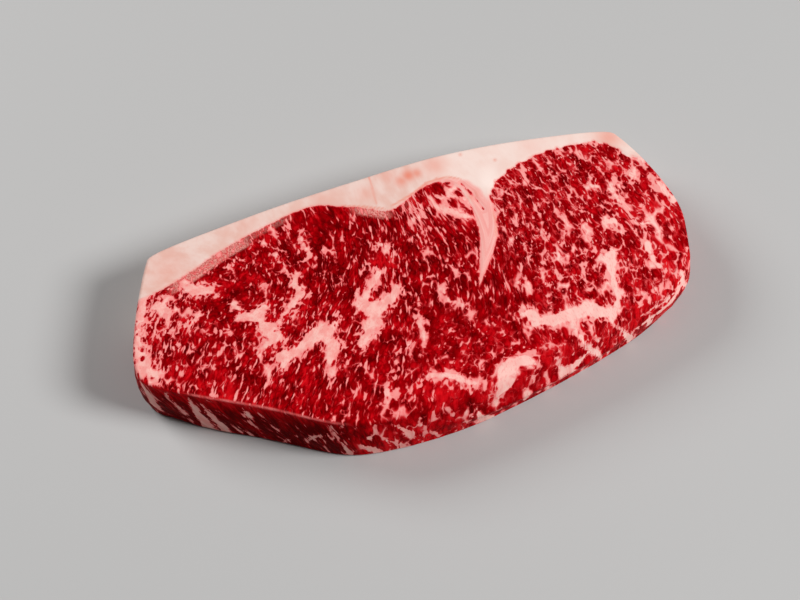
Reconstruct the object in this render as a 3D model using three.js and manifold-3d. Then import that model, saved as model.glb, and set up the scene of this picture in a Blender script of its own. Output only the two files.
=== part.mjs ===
// A raw striploin steak lying on its cut face: one slab of well-marbled beef, cut right through the loin,
// with the trimmed fat cap along its back edge. Millimetres, +Z up, origin under the middle of the slab.
// X runs along the steak, the fat cap is on the +Y side, and both cut faces are level.
// The lean and the fat are separate layers that run through the whole thickness. The fat is one body:
// the cap along the back, and the crescent seam that leaves it and runs down between the two muscles.

import * as THREE from 'three';
import { mergeVertices } from 'three/addons/utils/BufferGeometryUtils.js';
import Module from 'manifold-3d';

// Driving dimensions.
const steakLength = 220;
const steakWidth = 104.4;
const steakThickness = 25;
const layerGap = 0.3;

// Grid of the slab: stretches along the steak, across it, and down the side.
const gridAlong = 40;
const gridAcross = 17;
const rollSteps = 2;
const sideSteps = 5;

// A place on the cut face, from shares of the half length and half width.
const place = ([u, v]) => new THREE.Vector2(u * steakLength / 2, v * steakWidth / 2);

// Outline of the cut face, clockwise from above, in shares of the half length and half width.
const backEdge = [[-0.832, 0.866], [-0.455, 0.966], [-0.045, 1.006], [0.273, 1.012], [0.591, 0.937],
  [0.900, 0.780]];
const rightEnd = [[0.918, 0.722], [0.970, 0.402], [0.999, -0.005], [0.981, -0.275], [0.938, -0.520],
  [0.866, -0.650]];
const frontEdge = [[0.600, -0.818], [0.310, -0.952], [0.000, -1.042], [-0.255, -1.025], [-0.400, -0.955],
  [-0.636, -0.640], [-0.909, -0.285]];
const leftEnd = [[-0.988, -0.148], [-1.000, -0.005], [-0.953, 0.343], [-0.847, 0.828]];
const outlineGuides = [...backEdge, ...rightEnd, ...frontEdge, ...leftEnd];

// The outline's four corners, as places in the list of guides: a half lies between two guides.
const cornerAt = { capLeft: -0.5, capRight: 5.5, frontRight: 10.5, frontLeft: 19 };

// Border between the fat and the lean on the cut face: along the under side of the cap, down one side of
// the crescent seam, round its tip, up the other side, and on to the right end.
const capBorderLeft = [[-1.10, 0.525], [-0.90, 0.527], [-0.73, 0.622], [-0.62, 0.715], [-0.47, 0.805],
  [-0.25, 0.890], [-0.14, 0.820], [-0.05, 0.735], [0.018, 0.655], [0.09, 0.695], [0.16, 0.765]];
const seamLeftSide = [[0.235, 0.772], [0.280, 0.690], [0.300, 0.500], [0.285, 0.230], [0.240, 0.000],
  [0.180, -0.240]];
const seamTip = [0.158, -0.385];
const seamRightSide = [[0.196, -0.290], [0.238, -0.145], [0.285, -0.005], [0.330, 0.134], [0.360, 0.268],
  [0.375, 0.421], [0.388, 0.560]];
const capBorderRight = [[0.45, 0.668], [0.55, 0.740], [0.64, 0.775], [0.74, 0.765], [0.83, 0.725],
  [0.89, 0.610], [0.925, 0.500], [1.10, 0.430]];

// Low swells and hollows of the upper cut face: place, height, and reach along X and Y.
const swells = [
  { at: [0.20, 0.45], height: 0.9, reach: [20, 20] },
  { at: [0.33, 0.20], height: -0.7, reach: [9, 22] },
  { at: [0.62, 0.05], height: 0.8, reach: [30, 26] },
  { at: [-0.45, 0.05], height: 0.6, reach: [40, 28] },
  { at: [-0.15, -0.25], height: -0.5, reach: [22, 16] },
  { at: [0.15, -0.98], height: -1.6, reach: [62, 13] },
  { at: [0.85, -0.55], height: -1.8, reach: [24, 14] },
  { at: [-0.10, 0.98], height: 0.6, reach: [70, 9] },
];

// Shape of the side: how far the rim rolls over above and below, how far the side swells out between,
// and how far it is cut back under the two front corners.
const upperRoll = { plain: 1.4, frontRight: 4.2 };
const lowerRoll = 2.2;
const sideSwell = 0.8;
const undercut = { depth: 2.4, places: [[-0.97, -0.20], [0.86, -0.64]], reach: 14 };

// The loose fold of thin skin along the trimmed front side: where it starts and ends along X, how far down
// the side it lies as a share, how far it stands out, and its half height.
const sideFold = { from: 2, to: 68, fade: 12, depth: 0.62, rise: 1.0, spread: 2.6 };

// Inner line that the slab's rings shrink towards.
const spineHalf = 0.54 * steakLength / 2;

const smooth = (a, b, x) => THREE.MathUtils.smoothstep(x, a, b);
const bell = (x, reach) => Math.exp(-(x / reach) * (x / reach));

// Evenly spaced points of one side of the outline, between two places in the list of guides.
function outlineSide(curve, from, to, steps) {
  const fine = 240;
  const points = [];
  for (let i = 0; i <= fine; i++) {
    const share = (from + (to - from) * i / fine) / outlineGuides.length;
    const p = curve.getPoint((share + 1) % 1);
    points.push(new THREE.Vector2(p.x, p.y));
  }
  const reach = [0];
  for (let i = 1; i <= fine; i++) reach.push(reach[i - 1] + points[i].distanceTo(points[i - 1]));
  const side = [];
  let k = 1;
  for (let i = 0; i <= steps; i++) {
    const want = reach[fine] * i / steps;
    while (k < fine && reach[k] < want) k++;
    const share = (want - reach[k - 1]) / (reach[k] - reach[k - 1]);
    side.push(points[k - 1].clone().lerp(points[k], THREE.MathUtils.clamp(share, 0, 1)));
  }
  return side;
}

// The four sides of the outline, each running clockwise.
function outlineSides() {
  const guides = outlineGuides.map(place).map((p) => new THREE.Vector3(p.x, p.y, 0));
  const curve = new THREE.CatmullRomCurve3(guides, true, 'centripetal');
  const count = outlineGuides.length;
  const { capLeft, capRight, frontRight, frontLeft } = cornerAt;
  return {
    back: outlineSide(curve, capLeft, capRight, gridAlong),
    right: outlineSide(curve, capRight, frontRight, gridAcross),
    front: outlineSide(curve, frontRight, frontLeft, gridAlong),
    left: outlineSide(curve, frontLeft, count + capLeft, gridAcross),
  };
}

// Height of the upper cut face over the floor.
function upperFace(x, y) {
  let z = steakThickness;
  for (const { at, height, reach } of swells) {
    const centre = place(at);
    z += height * bell(x - centre.x, reach[0]) * bell(y - centre.y, reach[1]);
  }
  return z;
}

// How far the upper rim rolls over at a point of the outline: most along the trimmed front right.
function upperRollAt(p) {
  const towardsFront = 1 - smooth(-0.3 * steakWidth, 0, p.y);
  const towardsRight = smooth(-0.225 * steakLength, 0.025 * steakLength, p.x);
  return upperRoll.plain + (upperRoll.frontRight - upperRoll.plain) * towardsFront * towardsRight;
}

// How far the side is cut back at the floor at a point of the outline.
function undercutAt(p) {
  let cut = 0;
  for (const at of undercut.places) cut += undercut.depth * bell(p.distanceTo(place(at)), undercut.reach);
  return cut;
}

// How far the loose fold stands out at a point of the outline, at a share of the way down the side.
function foldAt(p, down) {
  if (p.y > 0) return 0;
  const { from, to, fade } = sideFold;
  const starts = smooth(from - fade, from + fade, p.x);
  const ends = smooth(to - fade, to + fade, p.x);
  const fromCrest = (down - sideFold.depth) * steakThickness;
  return sideFold.rise * starts * (1 - ends) * bell(fromCrest, sideFold.spread);
}

// One ring of the side: every outline point moved inwards and down as the side's profile says.
// The profile is a quarter round at the top, a swelling wall, and a quarter round at the floor.
function sideProfile(p) {
  const top = upperRollAt(p);
  const bottom = lowerRoll;
  const cut = undercutAt(p);
  const rows = [];
  for (let i = 0; i <= rollSteps; i++) {
    const turn = Math.PI / 2 * i / rollSteps;
    rows.push({ inset: top * (1 - Math.sin(turn)), depth: top * (1 - Math.cos(turn)) });
  }
  for (let i = 1; i < sideSteps; i++) {
    const share = i / sideSteps;
    const depth = top + share * (steakThickness - top - bottom);
    const out = sideSwell * Math.sin(Math.PI * share) + foldAt(p, depth / steakThickness);
    rows.push({ inset: cut * share * share - out, depth });
  }
  for (let i = 0; i <= rollSteps; i++) {
    const turn = Math.PI / 2 * i / rollSteps;
    const depth = steakThickness - bottom * (1 - Math.sin(turn));
    rows.push({ inset: cut + bottom * (1 - Math.cos(turn)), depth });
  }
  return rows;
}

// A point of the side, from an outline point and a row of its profile.
function sidePoint(p, { inset, depth }) {
  const spine = new THREE.Vector2(THREE.MathUtils.clamp(p.x, -spineHalf, spineHalf), 0);
  const inwards = spine.sub(p).normalize();
  const q = p.clone().addScaledVector(inwards, inset);
  const z = upperFace(q.x, q.y) * (1 - depth / steakThickness);
  return new THREE.Vector3(q.x, q.y, z);
}

// A patch that fills the four sides of a ring: each point blends the two sides across and the two along.
function fillPatch(ring, faceHeight) {
  const { back, right, front, left } = ring;
  const rows = [];
  for (let j = 0; j <= gridAcross; j++) {
    const v = j / gridAcross;
    const row = [];
    for (let i = 0; i <= gridAlong; i++) {
      const u = i / gridAlong;
      const across = back[i].clone().lerp(front[gridAlong - i], v);
      const along = left[gridAcross - j].clone().lerp(right[j], u);
      const upper = back[0].clone().lerp(back[gridAlong], u);
      const lower = front[gridAlong].clone().lerp(front[0], u);
      const point = across.add(along).sub(upper.lerp(lower, v));
      const onRim = i === 0 || j === 0 || i === gridAlong || j === gridAcross;
      if (!onRim) point.z = faceHeight(point.x, point.y);
      row.push(point);
    }
    rows.push(row);
  }
  return rows;
}

// Collects triangles, each given as three corners seen anticlockwise from outside.
function triangleSoup() {
  const corners = [];
  const triangle = (a, b, c) => corners.push(a.x, a.y, a.z, b.x, b.y, b.z, c.x, c.y, c.z);
  const quad = (a, b, c, d) => {
    triangle(a, b, c);
    triangle(a, c, d);
  };
  return { corners, quad };
}

// The whole slab as one closed shell: upper face, side, and the face that lies on the floor.
function slabGeometry() {
  const sides = outlineSides();
  const names = ['back', 'right', 'front', 'left'];
  const columns = {};
  const columnAt = (p) => sideProfile(p).map((row) => sidePoint(p, row));
  for (const name of names) columns[name] = sides[name].map(columnAt);
  const ringAt = (pick) => Object.fromEntries(names.map((name) => [name, columns[name].map(pick)]));
  const { corners, quad } = triangleSoup();
  for (const name of names) {
    for (let i = 1; i < columns[name].length; i++) {
      const before = columns[name][i - 1];
      const here = columns[name][i];
      for (let k = 1; k < here.length; k++) quad(before[k - 1], here[k - 1], here[k], before[k]);
    }
  }
  const upper = fillPatch(ringAt((column) => column[0]), upperFace);
  const lower = fillPatch(ringAt((column) => column[column.length - 1]), () => 0);
  for (let j = 1; j <= gridAcross; j++) {
    for (let i = 1; i <= gridAlong; i++) {
      quad(upper[j][i - 1], upper[j][i], upper[j - 1][i], upper[j - 1][i - 1]);
      quad(lower[j - 1][i - 1], lower[j - 1][i], lower[j][i], lower[j][i - 1]);
    }
  }
  const geometry = new THREE.BufferGeometry();
  geometry.setAttribute('position', new THREE.Float32BufferAttribute(corners, 3));
  return geometry;
}

// Upright knife that holds all the fat: the border line, closed well behind the back edge.
// The border is pushed out by a gap, so that the lean is cut clear of the fat.
function fatKnifeGeometry(gap) {
  const border = [...capBorderLeft, ...seamLeftSide, seamTip, ...seamRightSide, ...capBorderRight].map(place);
  const line = new THREE.SplineCurve(border).getPoints(3 * (border.length - 1));
  const pushed = line.map((p, i) => {
    const before = line[Math.max(i - 1, 0)];
    const after = line[Math.min(i + 1, line.length - 1)];
    const run = after.clone().sub(before).normalize();
    return new THREE.Vector2(p.x + run.y * gap, p.y - run.x * gap);
  });
  const behind = steakWidth;
  const shape = new THREE.Shape(pushed);
  shape.lineTo(pushed[pushed.length - 1].x, behind);
  shape.lineTo(pushed[0].x, behind);
  shape.closePath();
  const geometry = new THREE.ExtrudeGeometry(shape, { depth: 2 * steakThickness, bevelEnabled: false });
  geometry.translate(0, 0, -steakThickness / 2);
  return geometry;
}

const wasm = await Module();
wasm.setup();

// A closed three.js shell as a solid that can be cut.
function solidOf(geometry) {
  const bare = geometry.clone();
  bare.deleteAttribute('normal');
  bare.deleteAttribute('uv');
  const merged = mergeVertices(bare, 1e-4);
  const mesh = new wasm.Mesh({
    numProp: 3,
    vertProperties: merged.attributes.position.array,
    triVerts: new Uint32Array(merged.index.array),
  });
  return new wasm.Manifold(mesh);
}

// A named piece of the steak from a cut solid.
function pieceOf(name, solid, material) {
  const cut = solid.getMesh();
  const geometry = new THREE.BufferGeometry();
  geometry.setAttribute('position', new THREE.Float32BufferAttribute(cut.vertProperties, 3));
  geometry.setIndex([...cut.triVerts]);
  geometry.computeVertexNormals();
  const mesh = new THREE.Mesh(geometry, material);
  mesh.name = name;
  return mesh;
}

const leanMaterial = new THREE.MeshStandardMaterial({ color: 0xb81c22, roughness: 0.42, metalness: 0 });
const fatMaterial = new THREE.MeshStandardMaterial({ color: 0xf0cdbe, roughness: 0.5, metalness: 0 });

const slab = solidOf(slabGeometry());
const { min, max } = slab.boundingBox();
const toMiddle = [-(min[0] + max[0]) / 2, -(min[1] + max[1]) / 2, 0];
const fat = slab.intersect(solidOf(fatKnifeGeometry(0))).translate(toMiddle);
const lean = slab.subtract(solidOf(fatKnifeGeometry(layerGap))).translate(toMiddle);

const steak = new THREE.Group();
steak.name = 'striploin_steak';
steak.add(pieceOf('lean', lean, leanMaterial));
steak.add(pieceOf('fat_cap', fat, fatMaterial));

export default steak;
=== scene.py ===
# Raw striploin steak: the marbled lean and its fat cap, on a plain pale floor.
# Sizes in the dictionaries are millimetres unless a note says otherwise.
import math
from types import SimpleNamespace
import bpy
import numpy as np
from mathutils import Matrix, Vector


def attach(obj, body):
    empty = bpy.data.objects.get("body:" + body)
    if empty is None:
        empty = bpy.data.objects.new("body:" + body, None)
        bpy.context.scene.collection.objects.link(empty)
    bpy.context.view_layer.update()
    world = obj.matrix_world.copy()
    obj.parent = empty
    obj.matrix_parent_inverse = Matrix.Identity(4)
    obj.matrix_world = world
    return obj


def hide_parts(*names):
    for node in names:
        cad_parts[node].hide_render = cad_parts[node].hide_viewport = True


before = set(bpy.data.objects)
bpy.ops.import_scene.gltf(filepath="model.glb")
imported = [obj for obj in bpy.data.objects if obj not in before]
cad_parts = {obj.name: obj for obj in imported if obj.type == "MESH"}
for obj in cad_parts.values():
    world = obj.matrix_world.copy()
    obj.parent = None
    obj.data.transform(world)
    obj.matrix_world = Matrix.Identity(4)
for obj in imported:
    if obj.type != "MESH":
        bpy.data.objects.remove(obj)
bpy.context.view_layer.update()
print("frame loaded:", ", ".join(sorted(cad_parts)))

mm = 0.001

# the slab, with the same guides as the solids
slab = {
    "length": 220.0,
    "width": 104.4,
    "thickness": 25.0,
    "toMiddle": (-0.019, 0.841),  # brings the outline's own box over the origin
    "along": 320,  # cells of the cut face along X
    "across": 140,  # cells of the cut face along Y
    "rollSteps": 6,
    "wallSteps": 16,
    "wallFrom": (0.3, 2.0),  # depths between which the wall begins,
    "wallTo": (24.8, 22.5),  # and between which it ends
    "upperRoll": 1.4,
    "upperRollFrontRight": 4.2,
    "lowerRoll": 2.2,
    "sideSwell": 0.8,
    "undercut": 2.4,
    "undercutReach": 14.0,
    "undercutPlaces": [(-0.97, -0.20), (0.86, -0.64)],
    "spineHalf": 59.4,  # insets point at a line that runs this far each way along X
    "frontRollX": (-0.225, 0.025),  # the front right roll grows between these shares of the length
    "frontRollY": (0.0, -0.3),  # and width
}

# outline of the cut face, clockwise from above, as shares of the half length and half width
backEdge = [(-0.832, 0.866), (-0.455, 0.966), (-0.045, 1.006), (0.273, 1.012), (0.591, 0.937),
            (0.900, 0.780)]
rightEnd = [(0.918, 0.722), (0.970, 0.402), (0.999, -0.005), (0.981, -0.275), (0.938, -0.520),
            (0.866, -0.650)]
frontEdge = [(0.600, -0.818), (0.310, -0.952), (0.000, -1.042), (-0.255, -1.025), (-0.400, -0.955),
             (-0.636, -0.640), (-0.909, -0.285)]
leftEnd = [(-0.988, -0.148), (-1.000, -0.005), (-0.953, 0.343), (-0.847, 0.828)]
outlineGuides = backEdge + rightEnd + frontEdge + leftEnd
# places of the four corners in that list
cornerAt = {"capLeft": -0.5, "capRight": 5.5, "frontRight": 10.5, "frontLeft": 19.0}

# border between fat and lean: under side of the cap, round the crescent seam, and on to the right end
fatBorder = [
    (-1.10, 0.525), (-0.90, 0.527), (-0.73, 0.622), (-0.62, 0.715), (-0.47, 0.805), (-0.25, 0.890),
    (-0.14, 0.820), (-0.05, 0.735), (0.018, 0.655), (0.09, 0.695), (0.16, 0.765), (0.235, 0.772),
    (0.280, 0.690), (0.300, 0.500), (0.285, 0.230), (0.240, 0.000), (0.180, -0.240), (0.158, -0.385),
    (0.196, -0.290), (0.238, -0.145), (0.285, -0.005), (0.330, 0.134), (0.360, 0.268), (0.375, 0.421),
    (0.388, 0.560), (0.45, 0.668), (0.55, 0.740), (0.64, 0.775), (0.74, 0.765), (0.83, 0.725),
    (0.89, 0.610), (0.925, 0.500), (1.10, 0.430),
]

# pieces of the line between two guides, and a Y well behind the steak, where its loop is closed
borderSteps = 6
farBack = 300.0

# low swells of the upper face: place, height, reach along X and Y
swells = [
    ((0.20, 0.45), 0.9, (20, 20)), ((0.33, 0.20), -0.7, (9, 22)), ((0.62, 0.05), 0.8, (30, 26)),
    ((-0.45, 0.05), 0.6, (40, 28)), ((-0.15, -0.25), -0.5, (22, 16)), ((0.15, -0.98), -1.6, (62, 13)),
    ((0.85, -0.55), -1.8, (24, 14)), ((-0.10, 0.98), 0.6, (70, 9)),
]

# a fold that runs along the front wall: from and to in X, and its depth as a share of the thickness
sideFold = {"from": 2.0, "to": 68.0, "fade": 12.0, "depth": 0.62, "rise": 1.0, "spread": 2.6}


def smoothStep(low, high, x):
    # 3t^2 - 2t^3, with t the share of the way from low to high
    t = np.clip((x - low) / (high - low), 0.0, 1.0)
    return t * t * (3.0 - 2.0 * t)


def bell(x, reach):
    # exp(-(x / reach)^2)
    return np.exp(-(x / reach) ** 2)


def betweenFour(values, u, v, fu, fv):
    # blend of the four values of a grid around each place, repeating beyond its edges
    rows, columns = values.shape
    low, high = (values[row % rows, u % columns] * (1 - fu) + values[row % rows, (u + 1) % columns] * fu
                 for row in (v, v + 1))
    return low * (1 - fv) + high * fv


def valueNoise(u, v, seed):
    # random heights 0..1 at whole numbers, blended smoothly between them
    heights = np.random.default_rng(seed).random((64, 64))
    i, j = np.floor(u).astype(int), np.floor(v).astype(int)
    return betweenFour(heights, i, j, smoothStep(0, 1, u - i), smoothStep(0, 1, v - j))


def hermite(p1, p2, t1, t2, w):
    # cubic from p1 to p2 with the slopes t1 and t2 at its ends
    return p1 + t1 * w + (-3 * p1 + 3 * p2 - 2 * t1 - t2) * w ** 2 + (2 * p1 - 2 * p2 + t1 + t2) * w ** 3


def fromSegment(x, y, a, b):
    # share of the way from a to b of the nearest place on that line, and the distance to it
    dx, dy = b[0] - a[0], b[1] - a[1]
    t = np.clip(((x - a[0]) * dx + (y - a[1]) * dy) / (dx * dx + dy * dy + 1e-9), 0, 1)
    return t, np.hypot(x - a[0] - t * dx, y - a[1] - t * dy)


def placed(shares):
    # shares of the half length and half width to millimetres
    return np.asarray(shares, float) * (slab["length"] / 2, slab["width"] / 2)


def closedCurve(guides, t):
    # centripetal Catmull-Rom through a closed list of guides, t in 0..1 over the whole loop
    count = len(guides)
    at = np.mod(t, 1.0) * count
    k = np.floor(at).astype(int)
    w = (at - k)[:, None]
    p0, p1, p2, p3 = (guides[(k + step) % count] for step in (-1, 0, 1, 2))
    gaps = (p1 - p0, p2 - p1, p3 - p2)
    d0, d1, d2 = (np.sqrt(np.linalg.norm(gap, axis=1))[:, None] for gap in gaps)
    t1 = ((p1 - p0) / d0 - (p2 - p0) / (d0 + d1) + (p2 - p1) / d1) * d1
    t2 = ((p2 - p1) / d1 - (p3 - p1) / (d1 + d2) + (p3 - p2) / d2) * d1
    return hermite(p1, p2, t1, t2, w)


def outlineSide(start, stop, steps):
    # evenly spaced points of one side of the outline, between two places in the list of guides
    fine = closedCurve(placed(outlineGuides), np.linspace(start, stop, 2001) / len(outlineGuides))
    reach = np.concatenate([[0], np.cumsum(np.linalg.norm(np.diff(fine, axis=0), axis=1))])
    want = np.linspace(0, reach[-1], steps + 1)
    return np.stack([np.interp(want, reach, fine[:, i]) for i in (0, 1)], 1)


def upperFace(x, y):
    # height of the upper cut face: the thickness plus a sum of bells
    z = np.full(np.shape(x), slab["thickness"])
    for at, height, reach in swells:
        cx, cy = placed(at)
        z = z + height * bell(x - cx, reach[0]) * bell(y - cy, reach[1])
    return z


def sideProfile(points):
    # rows of (inset, depth) for every outline point: quarter round, wall, quarter round. The wall swells by
    # sine(pi * share), is cut back by share squared near the undercuts and bulges along the fold
    x, y = points.T
    thick, bottom = slab["thickness"], slab["lowerRoll"]
    front = smoothStep(*(share * slab["length"] for share in slab["frontRollX"]), x)
    front = front * smoothStep(*(share * slab["width"] for share in slab["frontRollY"]), y)
    top = slab["upperRoll"] + (slab["upperRollFrontRight"] - slab["upperRoll"]) * front
    cut = sum(slab["undercut"] * bell(np.linalg.norm(points - placed(at), axis=1), slab["undercutReach"])
              for at in slab["undercutPlaces"])
    fold = sideFold
    along = smoothStep(fold["from"] - fold["fade"], fold["from"] + fold["fade"], x)
    along = along * (1 - smoothStep(fold["to"] - fold["fade"], fold["to"] + fold["fade"], x)) * (y <= 0)
    turns = np.linspace(0, math.pi / 2, slab["rollSteps"] + 1)
    rows = [(top * (1 - math.sin(turn)), top * (1 - math.cos(turn))) for turn in turns]
    for share in np.arange(1, slab["wallSteps"]) / slab["wallSteps"]:
        depth = top + share * (thick - top - bottom)
        out = slab["sideSwell"] * math.sin(math.pi * share)
        out = out + fold["rise"] * along * bell(depth - fold["depth"] * thick, fold["spread"])
        rows.append((cut * share * share - out, depth))
    for turn in turns:
        rows.append((cut + bottom * (1 - math.cos(turn)), thick - bottom * (1 - math.sin(turn)) + 0 * x))
    return np.array(rows).swapaxes(0, 1)


def sidePoints(points):
    # every outline point moved towards the spine by its inset, and down by its share of the height there
    insets, depths = sideProfile(points)
    spine = np.stack([np.clip(points[:, 0], -slab["spineHalf"], slab["spineHalf"]), 0 * points[:, 0]], 1)
    inwards = spine - points
    inwards /= np.linalg.norm(inwards, axis=1)[:, None]
    q = points[None] + inwards[None] * insets[..., None]
    z = upperFace(q[..., 0], q[..., 1]) * (1 - depths / slab["thickness"])
    return np.concatenate([q, z[..., None]], 2), depths


def fillPatch(back, right, front, left):
    # the four-sided patch between two pairs of facing edges, less the blend of its four corners
    u = np.linspace(0, 1, len(back))[None, :, None]
    v = np.linspace(0, 1, len(right))[:, None, None]
    frontLR, leftTB = front[::-1], left[::-1]
    across = (1 - v) * back[None] + v * frontLR[None]
    along = (1 - u) * leftTB[:, None] + u * right[:, None]
    corners = (1 - v) * ((1 - u) * back[0] + u * back[-1]) + v * ((1 - u) * frontLR[0] + u * frontLR[-1])
    return across + along - corners


def borderDistance(x, y):
    # distance to the fat's border line, a uniform Catmull-Rom curve, positive inside the fat: there a ray
    # along X crosses the closed loop an odd number of times
    guides = placed(fatBorder)
    last = len(guides) - 1
    at = np.linspace(0, last, borderSteps * last + 1)
    k = np.minimum(at.astype(int), last - 1)
    w = (at - k)[:, None]
    p0, p1, p2, p3 = (guides[np.clip(k + step, 0, last)] for step in (-1, 0, 1, 2))
    line = hermite(p1, p2, (p2 - p0) / 2, (p3 - p1) / 2, w)
    nearest = np.full(x.shape, 1e9)
    inside = np.zeros(x.shape, bool)
    behind = np.array([[line[-1, 0], farBack], [line[0, 0], farBack]])
    loop = np.concatenate([line, behind])
    for i in range(len(loop)):
        a, b = loop[i], loop[(i + 1) % len(loop)]
        crosses = (a[1] > y) != (b[1] > y)
        run = b[1] - a[1] if b[1] != a[1] else 1e-9
        inside ^= crosses & (x < (b[0] - a[0]) * (y - a[1]) / run + a[0])
        if i < len(line) - 1:
            nearest = np.minimum(nearest, fromSegment(x, y, a, b)[1])
    return np.where(inside, nearest, -nearest)


def streakDistance(x, y, strokes, soft=0.8):
    # soft * ln(sum of exp(distance inside / soft)) over all strokes, lists of (x, y, half width), less 0.2
    # for what neighbours add to each other
    total = np.zeros(x.shape)
    for stroke in strokes:
        for a, b in zip(stroke[:-1], stroke[1:]):
            t, distance = fromSegment(x, y, a, b)
            inside = a[2] + t * (b[2] - a[2]) - distance
            total += np.exp(np.clip(inside, -14, 14) / soft)
    return soft * np.log(np.maximum(total, 1e-9)) - 0.2


grain = {
    # x, y, angle of the grain in degrees from +X
    "hints": [
        (-95, 10, 60), (-85, 20, 64), (-75, 25, 56), (-80, 0, 64), (-70, 10, 54), (-60, -25, 57),
        (-65, -15, 57), (-50, -30, 55), (-45, -38, 55), (-45, -20, 56), (-30, 0, 56), (-30, -30, 58),
        (-20, 20, 66), (-30, 35, 92), (-45, 30, 84), (-50, 15, 63), (-35, 10, 62), (0, 10, 70),
        (0, -20, 70), (0, -32, 66), (10, 30, 88), (10, 0, 79), (15, -30, 66), (22, 25, 104), (25, 12, 94),
        (-10, -45, 64), (50, 30, 104), (60, 20, 93), (60, 5, 84), (70, 20, 93), (70, 35, 92), (80, 10, 97),
        (80, 30, 87), (90, 20, 82), (90, 0, 90), (45, 0, 84), (45, 15, 80), (35, -10, 71), (40, -22, 87),
        (60, -20, 83), (60, -8, 86), (80, -25, 76), (100, 10, 94), (98, 30, 104),
    ],
    "reach": 11.0,
    "halfGrid": (128, 72),
    "rightCloser": 1.45,  # the pattern is this much shorter along the grain in the right muscle,
    "rightFrom": (22, 48),  # which begins between these in x + y / 4
    "rightSlant": 0.25,
    "slopeLimits": (0.6, 1.6),
    "rounds": 24,
    "sideLean": 0.72,  # drift of the fibres along X for each millimetre down, at the left end
}


def grainField():
    # two heights over the plan, one rising along the grain and one across it: the potential of a field of
    # arrows, mirrored at the edges, by Fourier transform. The arrows then take the length of the slope found
    # along them, and the potential is found again, so that the slope turns truly along the arrows
    halfX, halfY = grain["halfGrid"]
    x = np.arange(-halfX, halfX) + 0.5
    y = np.arange(-halfY, halfY) + 0.5
    gx, gy = np.meshgrid(x, y)
    hints = np.array(grain["hints"], float)
    square = (gx[..., None] - hints[:, 0]) ** 2 + (gy[..., None] - hints[:, 1]) ** 2
    near = np.exp(-square / grain["reach"] ** 2) + 1e-5
    angle = np.radians(hints[:, 2])
    ax, ay = (near * np.cos(angle)).sum(2), (near * np.sin(angle)).sum(2)
    size = np.hypot(ax, ay)
    ax, ay = ax / size, ay / size

    def potential(fx, fy):
        fx = np.block([[fx, -fx[:, ::-1]], [fx[::-1], -fx[::-1, ::-1]]])
        fy = np.block([[fy, fy[:, ::-1]], [-fy[::-1], -fy[::-1, ::-1]]])
        ky = 2 * math.pi * np.fft.fftfreq(fx.shape[0])[:, None]
        kx = 2 * math.pi * np.fft.fftfreq(fx.shape[1])[None]
        square = kx ** 2 + ky ** 2
        square[0, 0] = 1
        wave = -1j * (kx * np.fft.fft2(fx) + ky * np.fft.fft2(fy)) / square
        wave[0, 0] = 0
        return np.fft.ifft2(wave).real[:len(y), :len(x)]

    def aligned(fx, fy, closer):
        height = potential(fx * closer, fy * closer)
        for _ in range(grain["rounds"]):
            slopeY, slopeX = np.gradient(height)
            size = np.clip(slopeX * fx + slopeY * fy, least * closer, most * closer)
            height = potential(fx * size, fy * size)
        return height

    least, most = grain["slopeLimits"]
    closer = 1 + (grain["rightCloser"] - 1) * smoothStep(*grain["rightFrom"], gx + grain["rightSlant"] * gy)
    return x, y, aligned(ax, ay, closer), aligned(ay, -ax, 1.0)


def lookUp(x, y, gridX, gridY, values):
    # straight blend of the four grid values around each place
    u = np.clip(x - gridX[0], 0, len(gridX) - 1.001)
    v = np.clip(y - gridY[0], 0, len(gridY) - 1.001)
    i, j = u.astype(int), v.astype(int)
    return betweenFour(values, i, j, u - i, v - j)


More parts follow.
